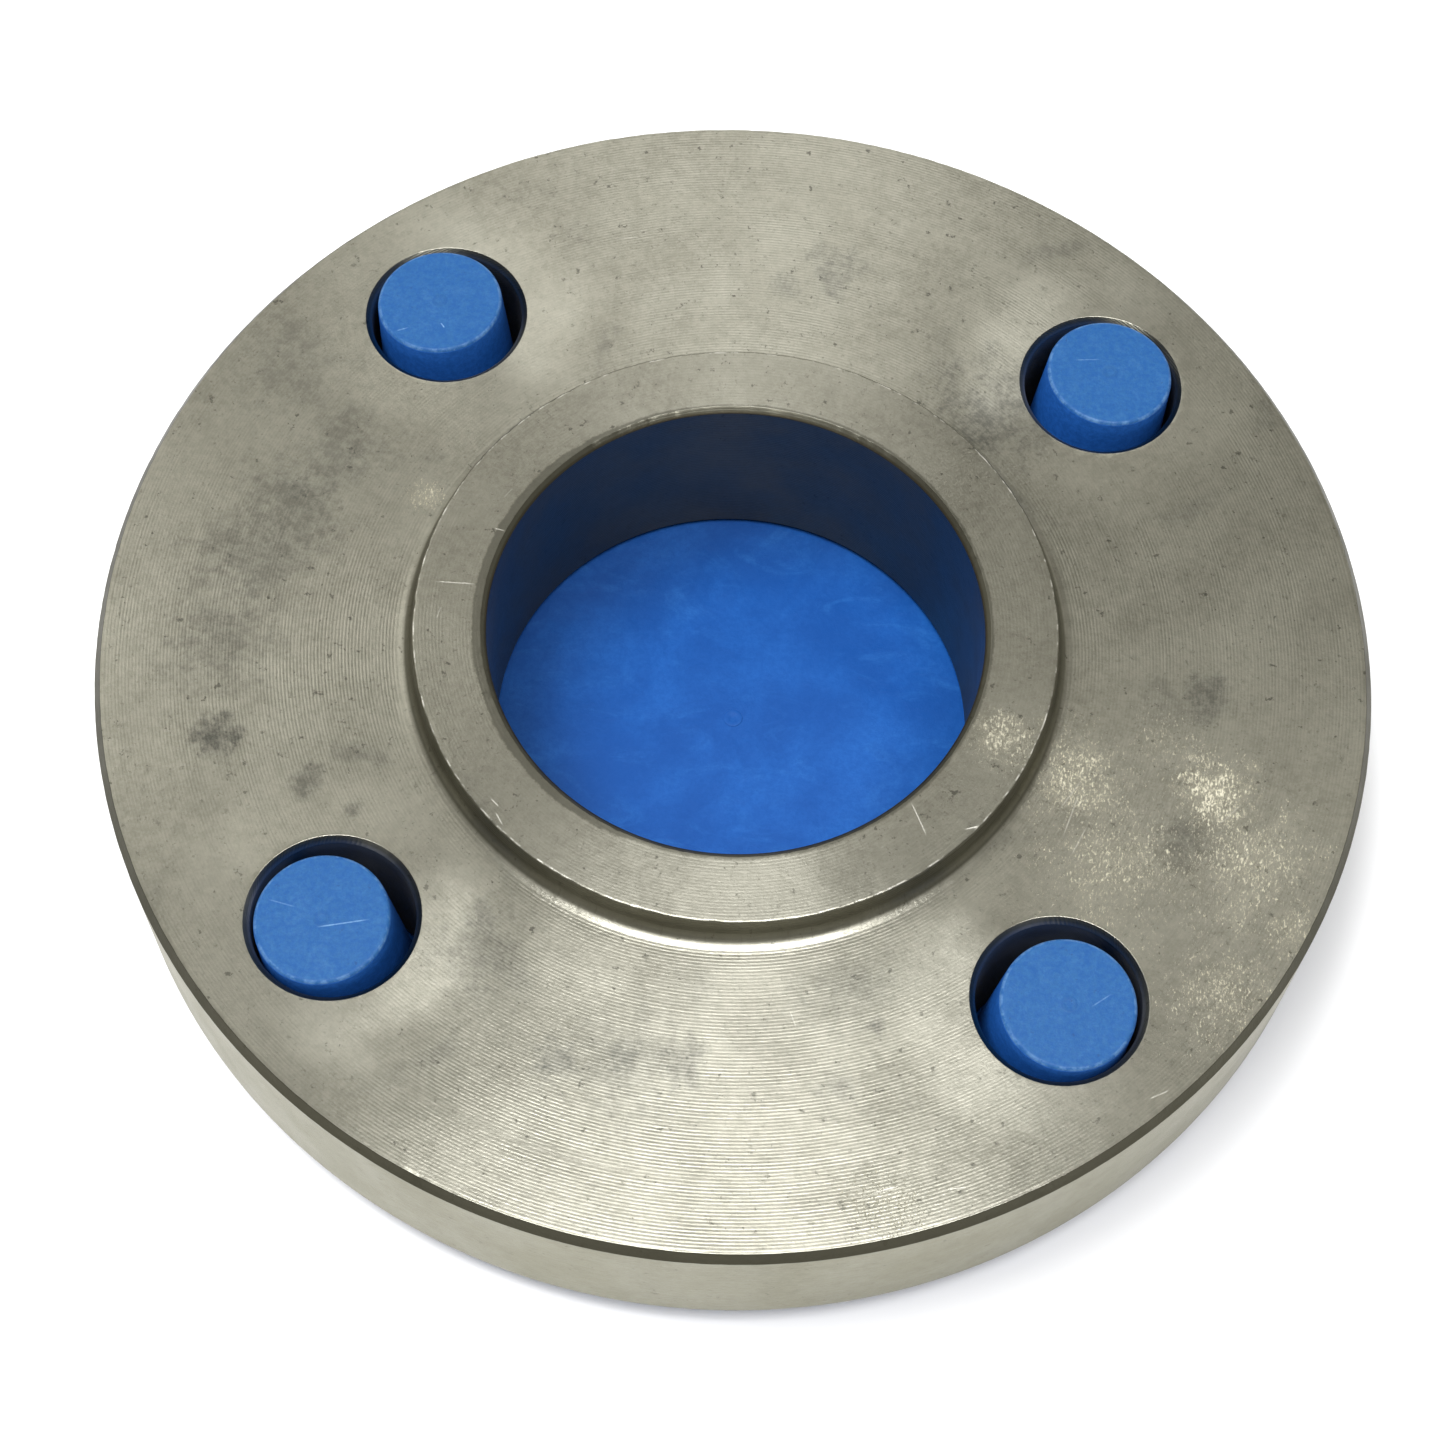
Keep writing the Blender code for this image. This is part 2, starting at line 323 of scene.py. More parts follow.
def roughen_edges(mesh):
    """Ragged burrs along the turned edges, and the nicks that handling has left."""
    edges = (
        (BORE_RADIUS + BORE_CHAMFER, HUB_TOP_Z, 1.0, 0.38 * MM, BURR * 0.6),
        (HUB_TOP_RADIUS, HUB_TOP_Z, -1.0, 0.38 * MM, BURR),
        (FLANGE_RADIUS - RIM_CHAMFER[0], BACK_FACE_Z, -1.0, 0.30 * MM, BURR / 2),
        (FLANGE_RADIUS, BACK_FACE_Z - RIM_CHAMFER[1], -1.0, 0.30 * MM, BURR / 3),
    )
    nicks = [(Vector((r * cos(radians(a)), r * sin(radians(a)), BACK_FACE_Z + z)), reach, depth)
             for a, r, z, reach, depth in NICKS]
    for vertex in mesh.vertices:
        place = vertex.co.copy()
        distance = place.xy.length
        outwards = Vector((place.x, place.y, 0.0)) / distance
        for edge_r, edge_z, inwards, reach, amount in edges:
            away = Vector((distance - edge_r, place.z - edge_z)).length / reach
            if away < 1.0:
                rough = noise.fractal(place * BURR_ROUGHNESS_SCALE, 1.0, 2.0, 3)
                bite = amount * (1.0 - away) * max(0.0, 0.15 + rough)
                vertex.co += (outwards * inwards - Vector((0.0, 0.0, 1.0))) * bite
        for centre, reach, depth in nicks:
            away = (place - centre).length / reach
            if away < 1.0:
                vertex.co.z -= depth * (1.0 - away ** 2) ** 2


def make_flange():
    flange = lathe("flange_forging", flange_outline(), FLANGE_SEGMENTS)
    roughen_edges(flange.data)
    holes = on_bolt_circle("bolt_holes", hole_outline(), HOLE_SEGMENTS)
    boolean(flange, holes, "DIFFERENCE")
    smooth(flange)
    flange.data.materials.clear()
    flange.data.materials.append(steel_material())
    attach(flange, "flange")
    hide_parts("slip_on_flange")
    return flange


# ---------------------------------------------------------------- protector

def disc_outline():
    return rounded([
        (0.0, DISC_TOP_Z, 0.0),
        (DISC_RADIUS, DISC_TOP_Z, DISC_EDGE_RADIUS),
        (DISC_RADIUS, FLOOR_Z, DISC_EDGE_RADIUS),
        (0.0, FLOOR_Z, 0.0),
    ])


def gate_mark_outline():
    """The small crater that the moulding's gate leaves on the disc."""
    return rounded([
        (0.0, GATE_MARK_HEIGHT / 3, 0.0),
        (GATE_MARK_RADIUS / 2, GATE_MARK_HEIGHT / 3, 0.0),
        (GATE_MARK_RADIUS * 0.75, GATE_MARK_HEIGHT, 0.0),
        (GATE_MARK_RADIUS, GATE_MARK_HEIGHT / 2, 0.0),
        (GATE_MARK_RADIUS * 1.1, -GATE_MARK_HEIGHT, 0.0),
        (0.0, -GATE_MARK_HEIGHT, 0.0),
    ])


def peg_outline():
    return rounded([
        (0.0, PEG_HEIGHT, 0.0),
        (PEG_TIP_RADIUS, PEG_HEIGHT, PEG_TIP_ROUNDING),
        (PEG_FOOT_RADIUS, PEG_FLARE, PEG_FLARE),
        (PEG_FOOT_RADIUS + PEG_FLARE, 0.0, 0.0),
        (PEG_FOOT_RADIUS + PEG_FLARE, -DISC_THICKNESS / 2, 0.0),
        (0.0, -DISC_THICKNESS / 2, 0.0),
    ])


def peg_hollow_outline():
    return rounded([
        (0.0, PEG_HEIGHT - PEG_WALL, 0.0),
        (PEG_TIP_RADIUS - PEG_WALL, PEG_HEIGHT - PEG_WALL, PEG_WALL / 2),
        (PEG_FOOT_RADIUS - PEG_WALL, 0.0, 0.0),
        (PEG_FOOT_RADIUS - PEG_WALL, -DISC_THICKNESS - CUT_MARGIN, 0.0),
        (0.0, -DISC_THICKNESS - CUT_MARGIN, 0.0),
    ])


def make_protector():
    protector = lathe("protector_moulding", disc_outline(), DISC_SEGMENTS)
    pegs = on_bolt_circle("pegs", peg_outline(), PEG_SEGMENTS, DISC_TOP_Z, PEG_LEAN)
    hollows = on_bolt_circle("hollows", peg_hollow_outline(), PEG_SEGMENTS, DISC_TOP_Z, PEG_LEAN)
    boolean(protector, pegs, "UNION")
    gate_mark = lathe("gate_mark", gate_mark_outline(), GATE_MARK_SEGMENTS)
    gate_mark.data.transform(Matrix.Translation((*GATE_MARK_PLACE, DISC_TOP_Z)))
    boolean(protector, gate_mark, "UNION")
    boolean(protector, hollows, "DIFFERENCE")
    smooth(protector)
    protector.data.materials.clear()
    protector.data.materials.append(plastic_material())
    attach(protector, "protector")
    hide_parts("flange_protector")
    return protector


# ---------------------------------------------------------------- materials

# Base colours, linear
STEEL_DULL = (0.37, 0.357, 0.285)
STEEL_PLAIN = (0.475, 0.462, 0.375)
STEEL_FINE = (0.58, 0.56, 0.46)
STEEL_BUFFED = (0.58, 0.565, 0.465)
# Pale cut metal for the scratches, and the painted highlight on the hub's burred edge
STEEL_CUT_AND_HIGHLIGHT = (0.85, 0.83, 0.74)
DISC_BLUE_DEEP = (0.004, 0.062, 0.268)
DISC_BLUE = (0.009, 0.089, 0.345)
# Painted light: the brighter blue of the pegs' sides
PEG_SIDE_LIT_BLUE = (0.018, 0.13, 0.52)
TIP_BLUE = (0.018, 0.091, 0.245)
TIP_BLUE_PALE = (0.042, 0.138, 0.305)
FLOOR_WHITE = (0.92, 0.92, 0.91)


class Nodes:
    """Short calls for building a node material."""

    def __init__(self, name):
        self.material = bpy.data.materials.new(name)
        self.material.use_nodes = True
        self.tree = self.material.node_tree
        self.shader = self.tree.nodes["Principled BSDF"]

    def add(self, kind, **settings):
        node = self.tree.nodes.new(kind)
        for key, value in settings.items():
            setattr(node, key, value)
        return node

    def put(self, socket, value):
        if isinstance(value, bpy.types.NodeSocket):
            self.tree.links.new(value, socket)
        else:
            socket.default_value = value

    def math(self, operation, *values):
        node = self.add("ShaderNodeMath", operation=operation)
        for socket, value in zip(node.inputs, values):
            self.put(socket, value)
        return node.outputs[0]

    def vector(self, operation, *values):
        node = self.add("ShaderNodeVectorMath", operation=operation)
        sockets = [k for k in node.inputs if k.enabled]
        for socket, value in zip(sockets, values):
            self.put(socket, value)
        gives_number = operation in ("LENGTH", "DISTANCE", "DOT_PRODUCT")
        return node.outputs["Value" if gives_number else 0]

    def xyz(self, x, y, z):
        node = self.add("ShaderNodeCombineXYZ")
        for socket, value in zip(node.inputs, (x, y, z)):
            self.put(socket, value)
        return node.outputs[0]

    def noise(self, vector, scale, detail, roughness, distortion=0.0):
        node = self.add("ShaderNodeTexNoise")
        self.put(node.inputs["Vector"], vector)
        self.put(node.inputs["Scale"], scale)
        self.put(node.inputs["Detail"], detail)
        self.put(node.inputs["Roughness"], roughness)
        self.put(node.inputs["Distortion"], distortion)
        return node.outputs[0]

    def remap(self, value, low, high, to_low=0.0, to_high=1.0):
        """A smooth step from to_low to to_high as the value goes from low to high."""
        node = self.add("ShaderNodeMapRange", interpolation_type="SMOOTHSTEP")
        for socket, item in zip(node.inputs, (value, low, high, to_low, to_high)):
            self.put(socket, item)
        return node.outputs[0]

    def mix(self, factor, a, b):
        node = self.add("ShaderNodeMix", data_type="RGBA")
        self.put(node.inputs["Factor"], factor)
        for socket, value in ((node.inputs[6], a), (node.inputs[7], b)):
            if isinstance(value, tuple):
                value = (*value, 1.0)
            self.put(socket, value)
        return node.outputs[2]

    def tint(self, colour, mask, amount, target):
        """The colour, moved towards the target by the mask times the amount."""
        return self.mix(self.math("MULTIPLY", mask, amount), colour, target)

    def coordinates(self):
        """The place on the piece, the same at height 0, its height, and how far it faces up."""
        source = self.add("ShaderNodeTexCoord")
        place = source.outputs["Object"]
        height = self.add("ShaderNodeSeparateXYZ")
        self.put(height.inputs[0], place)
        facing = self.add("ShaderNodeSeparateXYZ")
        self.put(facing.inputs[0], source.outputs["Normal"])
        flat = self.vector("MULTIPLY", place, (1.0, 1.0, 0.0))
        return place, flat, height.outputs["Z"], facing.outputs["Z"]

    def beside_bolt_axis(self, flat, radius):
        """The offset from the nearest bolt hole's axis. Each hole is alone in its quarter."""
        corner = radius * cos(FIRST_HOLE_ANGLE)
        axis = self.vector("MULTIPLY", self.vector("SIGN", flat), (corner, corner, 0.0))
        return self.vector("SUBTRACT", flat, axis)

    def bump(self, height, distance, strength=1.0, normal=None):
        node = self.add("ShaderNodeBump")
        self.put(node.inputs["Strength"], strength)
        self.put(node.inputs["Distance"], distance)
        self.put(node.inputs["Height"], height)
        if normal is not None:
            self.put(node.inputs["Normal"], normal)
        return node.outputs[0]


def spots(n, place, marks, ragged):
    """A mask from 0 to 1 of listed round marks, their edges broken up by noise."""
    total = None
    for azimuth, distance, reach, strength in marks:
        centre = (distance * cos(radians(azimuth)), distance * sin(radians(azimuth)), 0.0)
        away = n.vector("DISTANCE", place, centre)
        away = n.math("ADD", away, n.math("MULTIPLY", ragged, reach))
        mark = n.remap(away, reach, 0.0, 0.0, strength)
        total = mark if total is None else n.math("MAXIMUM", total, mark)
    return total


def lines(n, place, marks):
    """A mask from 0 to 1 of listed fine scratches."""
    total = None
    for azimuth, distance, heading, length, strength in marks:
        centre = (distance * cos(radians(azimuth)), distance * sin(radians(azimuth)), 0.0)
        cosine = cos(radians(heading))
        sine = sin(radians(heading))
        away = n.vector("SUBTRACT", place, centre)
        along = n.math("ABSOLUTE", n.vector("DOT_PRODUCT", away, (cosine, sine, 0.0)))
        across = n.math("ABSOLUTE", n.vector("DOT_PRODUCT", away, (-sine, cosine, 0.0)))
        thin = n.remap(across, SCRATCH_WIDTH, SCRATCH_CORE, 0.0, strength)
        mark = n.math("MULTIPLY", thin, n.remap(along, length / 2, length / 4))
        total = mark if total is None else n.math("MAXIMUM", total, mark)
    return total


def washer_arcs(n, from_hole, coarse):
    """Broken arcs of dirt where washers have sat round the bolt holes."""
    arc = n.math("ABSOLUTE", n.math("SUBTRACT", from_hole, WASHER_RADIUS))
    arc = n.remap(arc, 1.6 * MM, 0.3 * MM, 0.0, 0.35)
    return n.math("MULTIPLY", arc, n.remap(coarse, 0.0, 0.15))


def bore_lip(n, distance, around, coarse, ragged):
    """The worn, darker edge round the bore, wider on the left."""
    left = n.vector("DOT_PRODUCT", around, (-1.0, -0.2, 0.0))
    wear = n.math("ADD", left, n.math("MULTIPLY", coarse, 1.2))
    width = n.remap(wear, 0.2, 0.9, 0.15 * MM, 0.75 * MM)
    past_bore = n.math("SUBTRACT", distance, BORE_RADIUS + BORE_CHAMFER)
    past_bore = n.math("ADD", past_bore, n.math("MULTIPLY", ragged, 0.6 * MM))
    return n.remap(n.math("SUBTRACT", past_bore, width), 0.25 * MM, 0.0)


def hub_burr_and_highlight(n, place, distance):
    """The broken bright line along the hub's outer edge: rough burred metal, its brightness a painted
    highlight.
    """
    from_edge = n.math("ABSOLUTE", n.math("SUBTRACT", distance, HUB_TOP_RADIUS - 0.16 * MM))
    broken = n.remap(n.noise(place, 700.0, 3.0, 0.7), 0.48, 0.62)
    return n.math("MULTIPLY", n.remap(from_edge, 0.14 * MM, 0.05 * MM), broken)


def grain_direction(n, around, beside_hole, buffed):
    """The way the tool marks run: round the flange, bent round the holes where it is buffed."""
    up = (0.0, 0.0, 1.0)
    turned = n.vector("CROSS_PRODUCT", up, around)
    rubbed = n.vector("CROSS_PRODUCT", up, n.vector("NORMALIZE", beside_hole))
    share = n.math("MULTIPLY", buffed, 0.32)
    rest = n.math("SUBTRACT", 1.0, share)
    both = n.vector("ADD", n.vector("SCALE", turned, rest), n.vector("SCALE", rubbed, share))
    return n.vector("NORMALIZE", both)


def steel_material():
    """Turned stainless: tool marks round the axis, buffed rings round the holes, stains, glints; painted
    shade on its slopes, walls and rim, and painted highlights in the scuffed patches.
    """
    n = Nodes("turned_stainless")
    place, flat, height, facing = n.coordinates()
    distance = n.vector("LENGTH", flat)
    around = n.vector("NORMALIZE", flat)
    along = n.math("ADD", distance, height)
    beside_hole = n.beside_bolt_axis(flat, BOLT_CIRCLE_RADIUS)
    from_hole = n.vector("LENGTH", beside_hole)

    # Polar grain: long along the circles, fine across them
    lane = n.xyz(0.0, 0.0, n.math("MULTIPLY", along, 1000.0))
    streaks = n.noise(n.vector("ADD", n.vector("SCALE", around, 9.0), lane), 2.6, 3.0, 0.7)
    dashes = n.noise(n.vector("ADD", n.vector("SCALE", around, 40.0), lane), 1.5, 3.0, 0.75)

    # What breaks up the edges of the marks
    ragged = n.math("SUBTRACT", n.noise(place, 300.0, 5.0, 0.75), 0.5)
    dashed = n.math("MULTIPLY", n.math("SUBTRACT", dashes, 0.5), 0.6)
    ragged = n.math("ADD", ragged, dashed)
    coarse = n.math("SUBTRACT", n.noise(place, 120.0, 4.0, 0.6), 0.5)

    # Marks on the faces that look up
    up = n.remap(facing, 0.86, 0.97)
    ring = n.math("ADD", from_hole, n.math("MULTIPLY", coarse, 6.0 * MM))
    buffed = n.math("MULTIPLY", up, n.remap(ring, WASHER_RADIUS, 11.5 * MM))
    stained = spots(n, flat, STAINS, n.math("MULTIPLY", ragged, 2.4))
    stained = n.math("MULTIPLY", up, n.math("MAXIMUM", stained, washer_arcs(n, from_hole, coarse)))
    glint = n.math("MULTIPLY", up, spots(n, flat, GLINTS, n.math("MULTIPLY", ragged, 1.5)))
    scratched = n.math("MULTIPLY", up, lines(n, flat, SCRATCHES))
    lip = n.math("MULTIPLY", up, bore_lip(n, distance, around, coarse, ragged))
    # Painted highlight: a bright line on the hub's burred edge, which is also rougher
    burr_and_highlight = n.math("MULTIPLY", up, hub_burr_and_highlight(n, place, distance))

    # Sparkling flecks in the scuffed patches: real dents and duller metal, with a pale colour below that
    # is painted highlight
    flecks = n.noise(n.vector("MULTIPLY", place, (1.0, 0.45, 1.0)), 5200.0, 3.0, 0.85)
    sparkle = n.remap(n.math("ADD", flecks, n.math("MULTIPLY", glint, 0.18)), 0.61, 0.72)
    dents_and_fleck_highlights = n.math("MULTIPLY", sparkle, n.remap(glint, 0.0, 0.2))

    # Parts of the forging; the colour below paints shade on most of them, and light on the holes' upper
    # walls
    tilt = n.math("ABSOLUTE", facing)
    # Painted shade: chamfers, fillet and sloping walls darkened for the dark room they would reflect
    slope_shade = n.math("MULTIPLY", n.remap(tilt, 0.93, 0.8), n.remap(tilt, 0.02, 0.12))
    # Painted shade: the rim's top chamfer, nearly black
    rim_chamfer_shade = n.remap(distance, FLANGE_RADIUS - 1.2 * MM, FLANGE_RADIUS - 0.9 * MM)
    rim_chamfer_shade = n.math("MULTIPLY", slope_shade, rim_chamfer_shade)
    # Painted shade: the rim's outer side darkened
    rim_side_shade = n.remap(distance, FLANGE_RADIUS - 0.4 * MM, FLANGE_RADIUS - 0.2 * MM)
    rim_side_shade = n.math("MULTIPLY", n.remap(tilt, 0.1, 0.02), rim_side_shade)
    on_hub = n.remap(height, BACK_FACE_Z + 2.4 * MM, BACK_FACE_Z + 2.6 * MM)
    # Painted shade: the bore's wall, nearly black
    bore_wall_shade = n.remap(distance, BORE_RADIUS + 0.3 * MM, BORE_RADIUS + 0.1 * MM)
    # Painted shade on the bolt holes' walls, and painted light on their upper part
    in_hole = n.remap(from_hole, HOLE_RADIUS + 0.35 * MM, HOLE_RADIUS + 0.1 * MM)
    wall_top = n.remap(height, BACK_FACE_Z - 2.6 * MM, BACK_FACE_Z - 0.8 * MM)
    lit_wall = n.math("MULTIPLY", wall_top, in_hole)

    # Tool marks: one ridge a turn, uneven in depth, over a finer grain along the same circles
    ridge = n.math("SINE", n.math("MULTIPLY", along, 2 * pi / TURNING_PITCH))
    depth = n.remap(n.noise(n.vector("ADD", around, lane), 0.7, 3.0, 0.6), 0.3, 0.7, 0.4, 1.0)
    depth = n.math("SUBTRACT", depth, n.math("MULTIPLY", buffed, 0.3))
    depth = n.math("MULTIPLY", depth, n.math("SUBTRACT", 1.0, n.math("MULTIPLY", on_hub, 0.5)))
    ridge = n.math("MULTIPLY", ridge, depth)
    relief = n.math("ADD", ridge, n.math("MULTIPLY", streaks, 3.0))
    relief = n.math("ADD", relief, n.math("MULTIPLY", dashes, 2.0))
    normal = n.bump(relief, 0.0065 * MM)
    normal = n.bump(n.noise(place, 2600.0, 3.0, 0.7), 0.018 * MM, 1.0, normal)
    marks = n.math("SUBTRACT", dents_and_fleck_highlights, n.math("MULTIPLY", scratched, 0.4))
    normal = n.bump(marks, 0.05 * MM, 1.0, normal)

    # Colour, one layer over another: mask, its share, and the colour that it brings
    cloud = n.remap(n.noise(place, 70.0, 6.0, 0.7, 0.5), 0.3, 0.72)
    fine = n.remap(n.noise(place, 800.0, 6.0, 0.85), 0.38, 0.62)
    # Darker in the tool marks' valleys: painted shade, with some dirt
    valley_dirt_and_shade = n.math("MULTIPLY", up, n.remap(ridge, 0.0, -0.8))
    dark_dash = n.remap(dashes, 0.58, 0.75)
    pit = n.remap(n.noise(place, 900.0, 3.0, 0.7), 0.64, 0.72)
    smudge = n.math("MULTIPLY", stained, n.remap(fine, 0.0, 1.0, 0.95, 0.55))
    # Painted highlight: a soft pale haze over the glinting patches
    glint_highlight = n.remap(glint, 0.1, 1.0)
    colour = n.mix(cloud, STEEL_DULL, STEEL_PLAIN)
    for mask, share, target in (
        (fine, 0.5, STEEL_FINE),
        # painted shade and dirt in the tool marks' valleys
        (valley_dirt_and_shade, 0.10, (0.15, 0.145, 0.115)),
        (dark_dash, 0.55, (0.17, 0.165, 0.13)),
        (pit, 0.85, (0.16, 0.155, 0.125)),
        (buffed, 0.18, STEEL_BUFFED),
        (smudge, 1.0, (0.14, 0.14, 0.12)),
        # painted highlight: the pale haze of the glinting patches
        (glint_highlight, 0.3, (0.85, 0.80, 0.60)),
        # the flecks' pale colour is painted highlight; their bumps and duller metal are real scuffs
        (dents_and_fleck_highlights, 0.75, (0.95, 0.90, 0.69)),
        (scratched, 0.8, STEEL_CUT_AND_HIGHLIGHT),
        (on_hub, 0.18, (0.12, 0.115, 0.09)),
        # painted shade on the rim's outer side
        (rim_side_shade, 0.65, (0.12, 0.113, 0.06)),
        (lip, 0.75, (0.16, 0.155, 0.12)),
        # painted shade on the chamfers, fillet and sloping walls
        (slope_shade, 0.8, (0.10, 0.095, 0.065)),
        # painted shade on the rim's top chamfer
        (rim_chamfer_shade, 0.8, (0.045, 0.042, 0.028)),
        # painted highlight along the hub's burred edge
        (burr_and_highlight, 0.7, STEEL_CUT_AND_HIGHLIGHT),
        # painted shade on the bore's wall
        (bore_wall_shade, 0.85, (0.085, 0.073, 0.048)),
        # painted shade on the bolt holes' walls, then painted light on their upper part
        (in_hole, 0.85, (0.14, 0.135, 0.12)),
        (lit_wall, 0.6, (0.36, 0.35, 0.30)),
    ):
        colour = n.tint(colour, mask, share, target)
    n.put(n.shader.inputs["Base Color"], colour)

    # Gloss
    rough = n.remap(n.noise(place, 130.0, 4.0, 0.6), 0.3, 0.7, 0.30, 0.38)
    rough = n.math("ADD", rough, n.math("MULTIPLY", stained, 0.10))
    n.put(n.shader.inputs["Roughness"], rough)
    scattering = n.math("MAXIMUM", dents_and_fleck_highlights, scratched)
    scattering = n.math("MAXIMUM", scattering, n.math("MULTIPLY", burr_and_highlight, 0.7))
    metallic = n.math("SUBTRACT", 1.0, n.math("MULTIPLY", scattering, 0.5))
    n.put(n.shader.inputs["Metallic"], metallic)
    n.shader.inputs["Anisotropic"].default_value = 0.75
    n.shader.inputs["Anisotropic Rotation"].default_value = 0.25
    n.put(n.shader.inputs["Tangent"], grain_direction(n, around, beside_hole, buffed))
    n.put(n.shader.inputs["Normal"], normal)
    return n.material


def plastic_material():
    """Blue polyethylene: paler, scuffed peg tips over a cleaner, deeper blue disc, and pegs' sides
    painted brighter for light shining through them.
    """
    n = Nodes("blue_polyethylene")
    place, flat, height, facing = n.coordinates()

    # The disc, and the pegs' sides painted a brighter blue for light shining through the plastic
    cloud = n.remap(n.noise(place, 110.0, 5.0, 0.62, 0.4), 0.35, 0.7)
    stretched = n.vector("MULTIPLY", place, (1.0, 2.2, 1.0))
    smear = n.remap(n.noise(stretched, 95.0, 6.0, 0.7, 1.5), 0.5, 0.72)
    # Painted light: the pegs' sides a brighter blue, lit as through the plastic
    peg_side_light = n.remap(height, DISC_TOP_Z + 1.0 * MM, DISC_TOP_Z + 8.0 * MM)
    colour = n.mix(cloud, DISC_BLUE_DEEP, DISC_BLUE)
    colour = n.tint(colour, smear, 0.4, (0.022, 0.135, 0.42))
    colour = n.mix(peg_side_light, colour, PEG_SIDE_LIT_BLUE)

    # The pegs' tips: scuffed, grained and specked, each with the ring that its gate has left
    tip = n.math("MULTIPLY", n.remap(height, PEG_TIP_Z - 1.2 * MM, PEG_TIP_Z - 0.6 * MM),
                 n.remap(facing, 0.25, 0.55))
    worn_away = n.remap(n.noise(place, 900.0, 4.0, 0.7), 0.4, 0.6)
    edge = n.math("MULTIPLY", n.remap(facing, 0.99, 0.9), worn_away)
    edge = n.math("MULTIPLY", tip, edge)
    scuff = n.remap(n.noise(place, 420.0, 6.0, 0.72, 0.8), 0.45, 0.75, 0.0, 0.5)
    grain = n.remap(n.noise(place, 2600.0, 3.0, 0.7), 0.4, 0.65)
    speck = n.remap(n.noise(place, 1100.0, 3.0, 0.7), 0.66, 0.72)
    from_tip = n.vector("LENGTH", n.beside_bolt_axis(flat, BOLT_CIRCLE_RADIUS + PEG_TIP_OUT))
    gate = n.math("ABSOLUTE", n.math("SUBTRACT", from_tip, TIP_GATE_RADIUS))
    gate = n.math("MULTIPLY", tip, n.remap(gate, 0.3 * MM, 0.1 * MM, 0.0, 0.6))
    worn = n.mix(scuff, TIP_BLUE, TIP_BLUE_PALE)
    worn = n.tint(worn, grain, 0.25, (0.030, 0.135, 0.34))
    worn = n.tint(worn, speck, 0.5, (0.02, 0.05, 0.13))
    worn = n.tint(worn, gate, 0.5, (0.012, 0.065, 0.19))
    worn = n.mix(lines(n, flat, TIP_SCRATCHES), worn, (0.20, 0.36, 0.58))
    colour = n.mix(tip, colour, worn)
    colour = n.tint(colour, edge, 0.5, (0.13, 0.26, 0.46))

    # Dirt in the skin of the whole moulding
    dirt = n.remap(n.noise(place, 1700.0, 4.0, 0.8), 0.36, 0.64)
    colour = n.tint(colour, dirt, 0.4, (0.0, 0.05, 0.24))
    n.put(n.shader.inputs["Base Color"], colour)
    rough = n.remap(n.noise(place, 260.0, 4.0, 0.6), 0.3, 0.7, 0.46, 0.58)
    n.put(n.shader.inputs["Roughness"], rough)
    n.shader.inputs["Specular IOR Level"].default_value = 0.3
    skin = n.bump(n.noise(place, 2500.0, 3.0, 0.6), 0.02 * MM)
    n.put(n.shader.inputs["Normal"], n.bump(n.math("ADD", scuff, gate), 0.03 * MM, 1.0, skin))
    return n.material


# ---------------------------------------------------------------- stage

FLOOR_HALF_SIZE = 30.0
FLOOR_DROP = 0.05 * MM        # how far the floor lies below the protector

# Soft lights, all of them looking at the origin: name, position, size, power, colour
SOFT_LIGHTS = (
    ("ceiling_panel", (0.02, -0.24, 0.9), (0.60, 0.30), 6.8, (0.98, 0.99, 1.04)),
    ("window", (-0.80, 0.50, 0.85), (0.6, 0.5), 1.1, (1.0, 1.0, 1.0)),
    ("far_wall", (-0.12, 0.75, 0.85), (0.5, 0.3), 0.7, (1.0, 1.0, 1.0)),
    ("left_lamp", (-0.32, 0.37, 0.95), (0.15, 0.15), 0.25, (1.0, 1.0, 1.0)),
    ("right_lamp", (0.32, 0.37, 0.95), (0.15, 0.15), 0.2, (1.0, 1.0, 1.0)),
)
KEY_STRENGTH = 2.5
KEY_ANGLE = radians(26)
KEY_DIRECTION = (0.36, -0.10, -1.0)

# The room's strength by height: a white band at the horizon, over a wall that gets paler upwards.
# Each is the height where it starts and ends, and its strength there.
ROOM_BANDS = ((0.10, 0.36, 0.85, 0.0), (0.0, 0.75, 0.12, 0.26))
ROOM_WHITE = (1.0, 0.985, 0.93)


def make_floor():
    z = FLOOR_Z - FLOOR_DROP
    half = FLOOR_HALF_SIZE
    corners = [(-half, -half, z), (half, -half, z), (half, half, z), (-half, half, z)]
    mesh = bpy.data.meshes.new("floor")
    mesh.from_pydata(corners, [], [(0, 1, 2, 3)])
    floor = bpy.data.objects.new("floor", mesh)
    bpy.context.scene.collection.objects.link(floor)
    n = Nodes("pale_floor")
    n.shader.inputs["Base Color"].default_value = (*FLOOR_WHITE, 1.0)
    n.shader.inputs["Roughness"].default_value = 0.6
    mesh.materials.append(n.material)


def soft_light(name, position, size, power, colour):
    """A rectangular light that looks at the origin."""
    light = bpy.data.lights.new(name, "AREA")
    light.shape = "RECTANGLE"
    light.size, light.size_y = size
    light.energy = power
    light.color = colour
    lamp = bpy.data.objects.new(name, light)
    lamp.location = position
    lamp.rotation_mode = "QUATERNION"
    lamp.rotation_quaternion = (-Vector(position)).to_track_quat("-Z", "Y")
    bpy.context.scene.collection.objects.link(lamp)


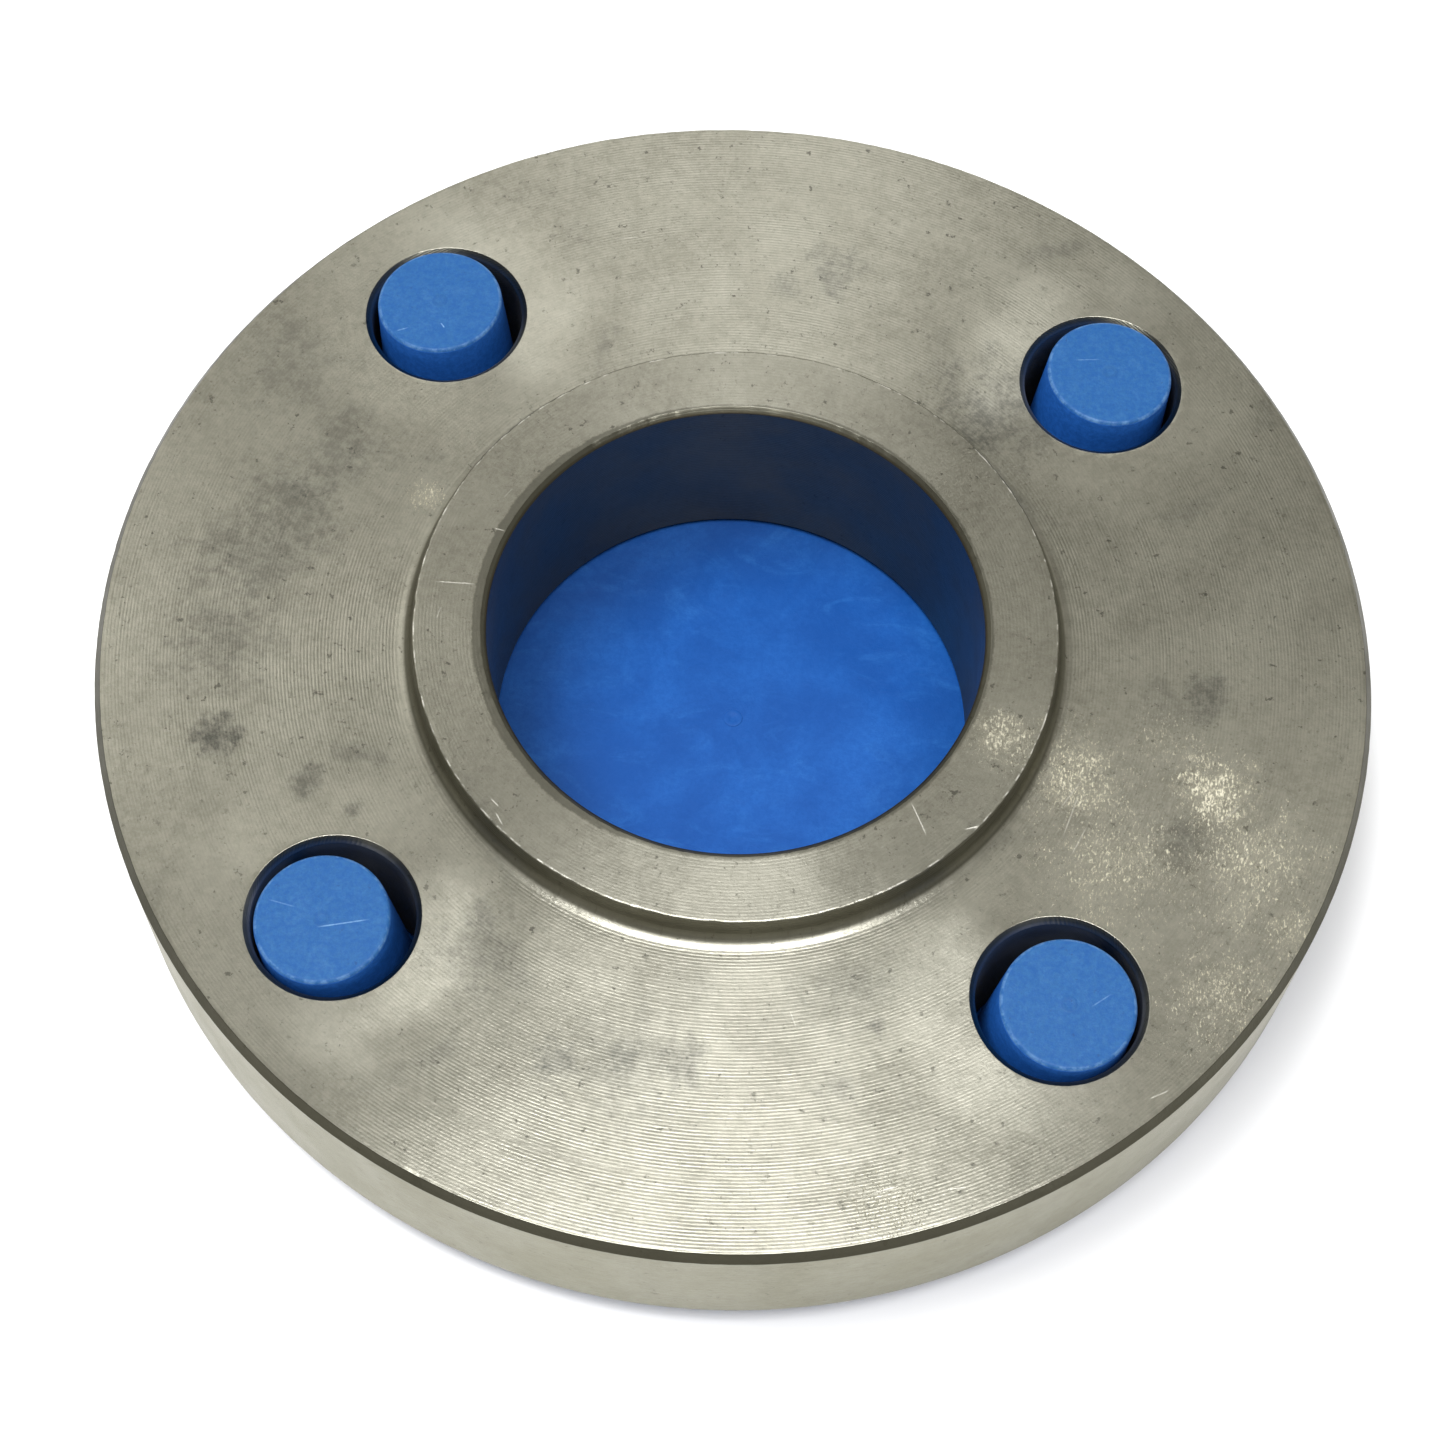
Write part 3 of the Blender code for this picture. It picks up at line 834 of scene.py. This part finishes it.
def make_world():
    """A room that is white at the horizon, dim above it, and paler again overhead."""
    world = bpy.data.worlds.new("studio")
    world.use_nodes = True
    tree = world.node_tree
    background = tree.nodes["Background"]
    direction = tree.nodes.new("ShaderNodeTexCoord")
    split = tree.nodes.new("ShaderNodeSeparateXYZ")
    total = tree.nodes.new("ShaderNodeMath")
    tree.links.new(direction.outputs["Generated"], split.inputs[0])
    for i, band in enumerate(ROOM_BANDS):
        fade = tree.nodes.new("ShaderNodeMapRange")
        for socket, value in zip(fade.inputs[1:5], band):
            socket.default_value = value
        tree.links.new(split.outputs["Z"], fade.inputs["Value"])
        tree.links.new(fade.outputs[0], total.inputs[i])
    tree.links.new(total.outputs[0], background.inputs["Strength"])
    background.inputs["Color"].default_value = (*ROOM_WHITE, 1.0)
    bpy.context.scene.world = world


def make_light():
    """A soft key from the upper left, and panels that the metal's highlights come from."""
    make_world()
    for light in SOFT_LIGHTS:
        soft_light(*light)
    sun = bpy.data.lights.new("key", "SUN")
    sun.energy = KEY_STRENGTH
    sun.angle = KEY_ANGLE
    key = bpy.data.objects.new("key", sun)
    key.rotation_mode = "QUATERNION"
    key.rotation_quaternion = Vector(KEY_DIRECTION).to_track_quat("-Z", "Y")
    key.visible_glossy = False
    bpy.context.scene.collection.objects.link(key)
    bpy.context.scene.view_settings.view_transform = "Standard"


def make_camera():
    camera = bpy.data.cameras.new("camera")
    camera.lens = LENS
    camera.sensor_width = SENSOR
    camera.clip_start = 0.01
    viewer = bpy.data.objects.new("camera", camera)
    flat = cos(CAMERA_ELEVATION)
    back = Vector((sin(CAMERA_AZIMUTH) * flat, -cos(CAMERA_AZIMUTH) * flat, sin(CAMERA_ELEVATION)))
    viewer.location = Vector((*CAMERA_AIM, BACK_FACE_Z)) + back * CAMERA_DISTANCE
    viewer.rotation_mode = "QUATERNION"
    roll = Quaternion((0.0, 0.0, 1.0), CAMERA_ROLL)
    viewer.rotation_quaternion = (-back).to_track_quat("-Z", "Y") @ roll
    bpy.context.scene.collection.objects.link(viewer)
    bpy.context.scene.camera = viewer


make_camera()
make_flange()
make_protector()
make_floor()
make_light()
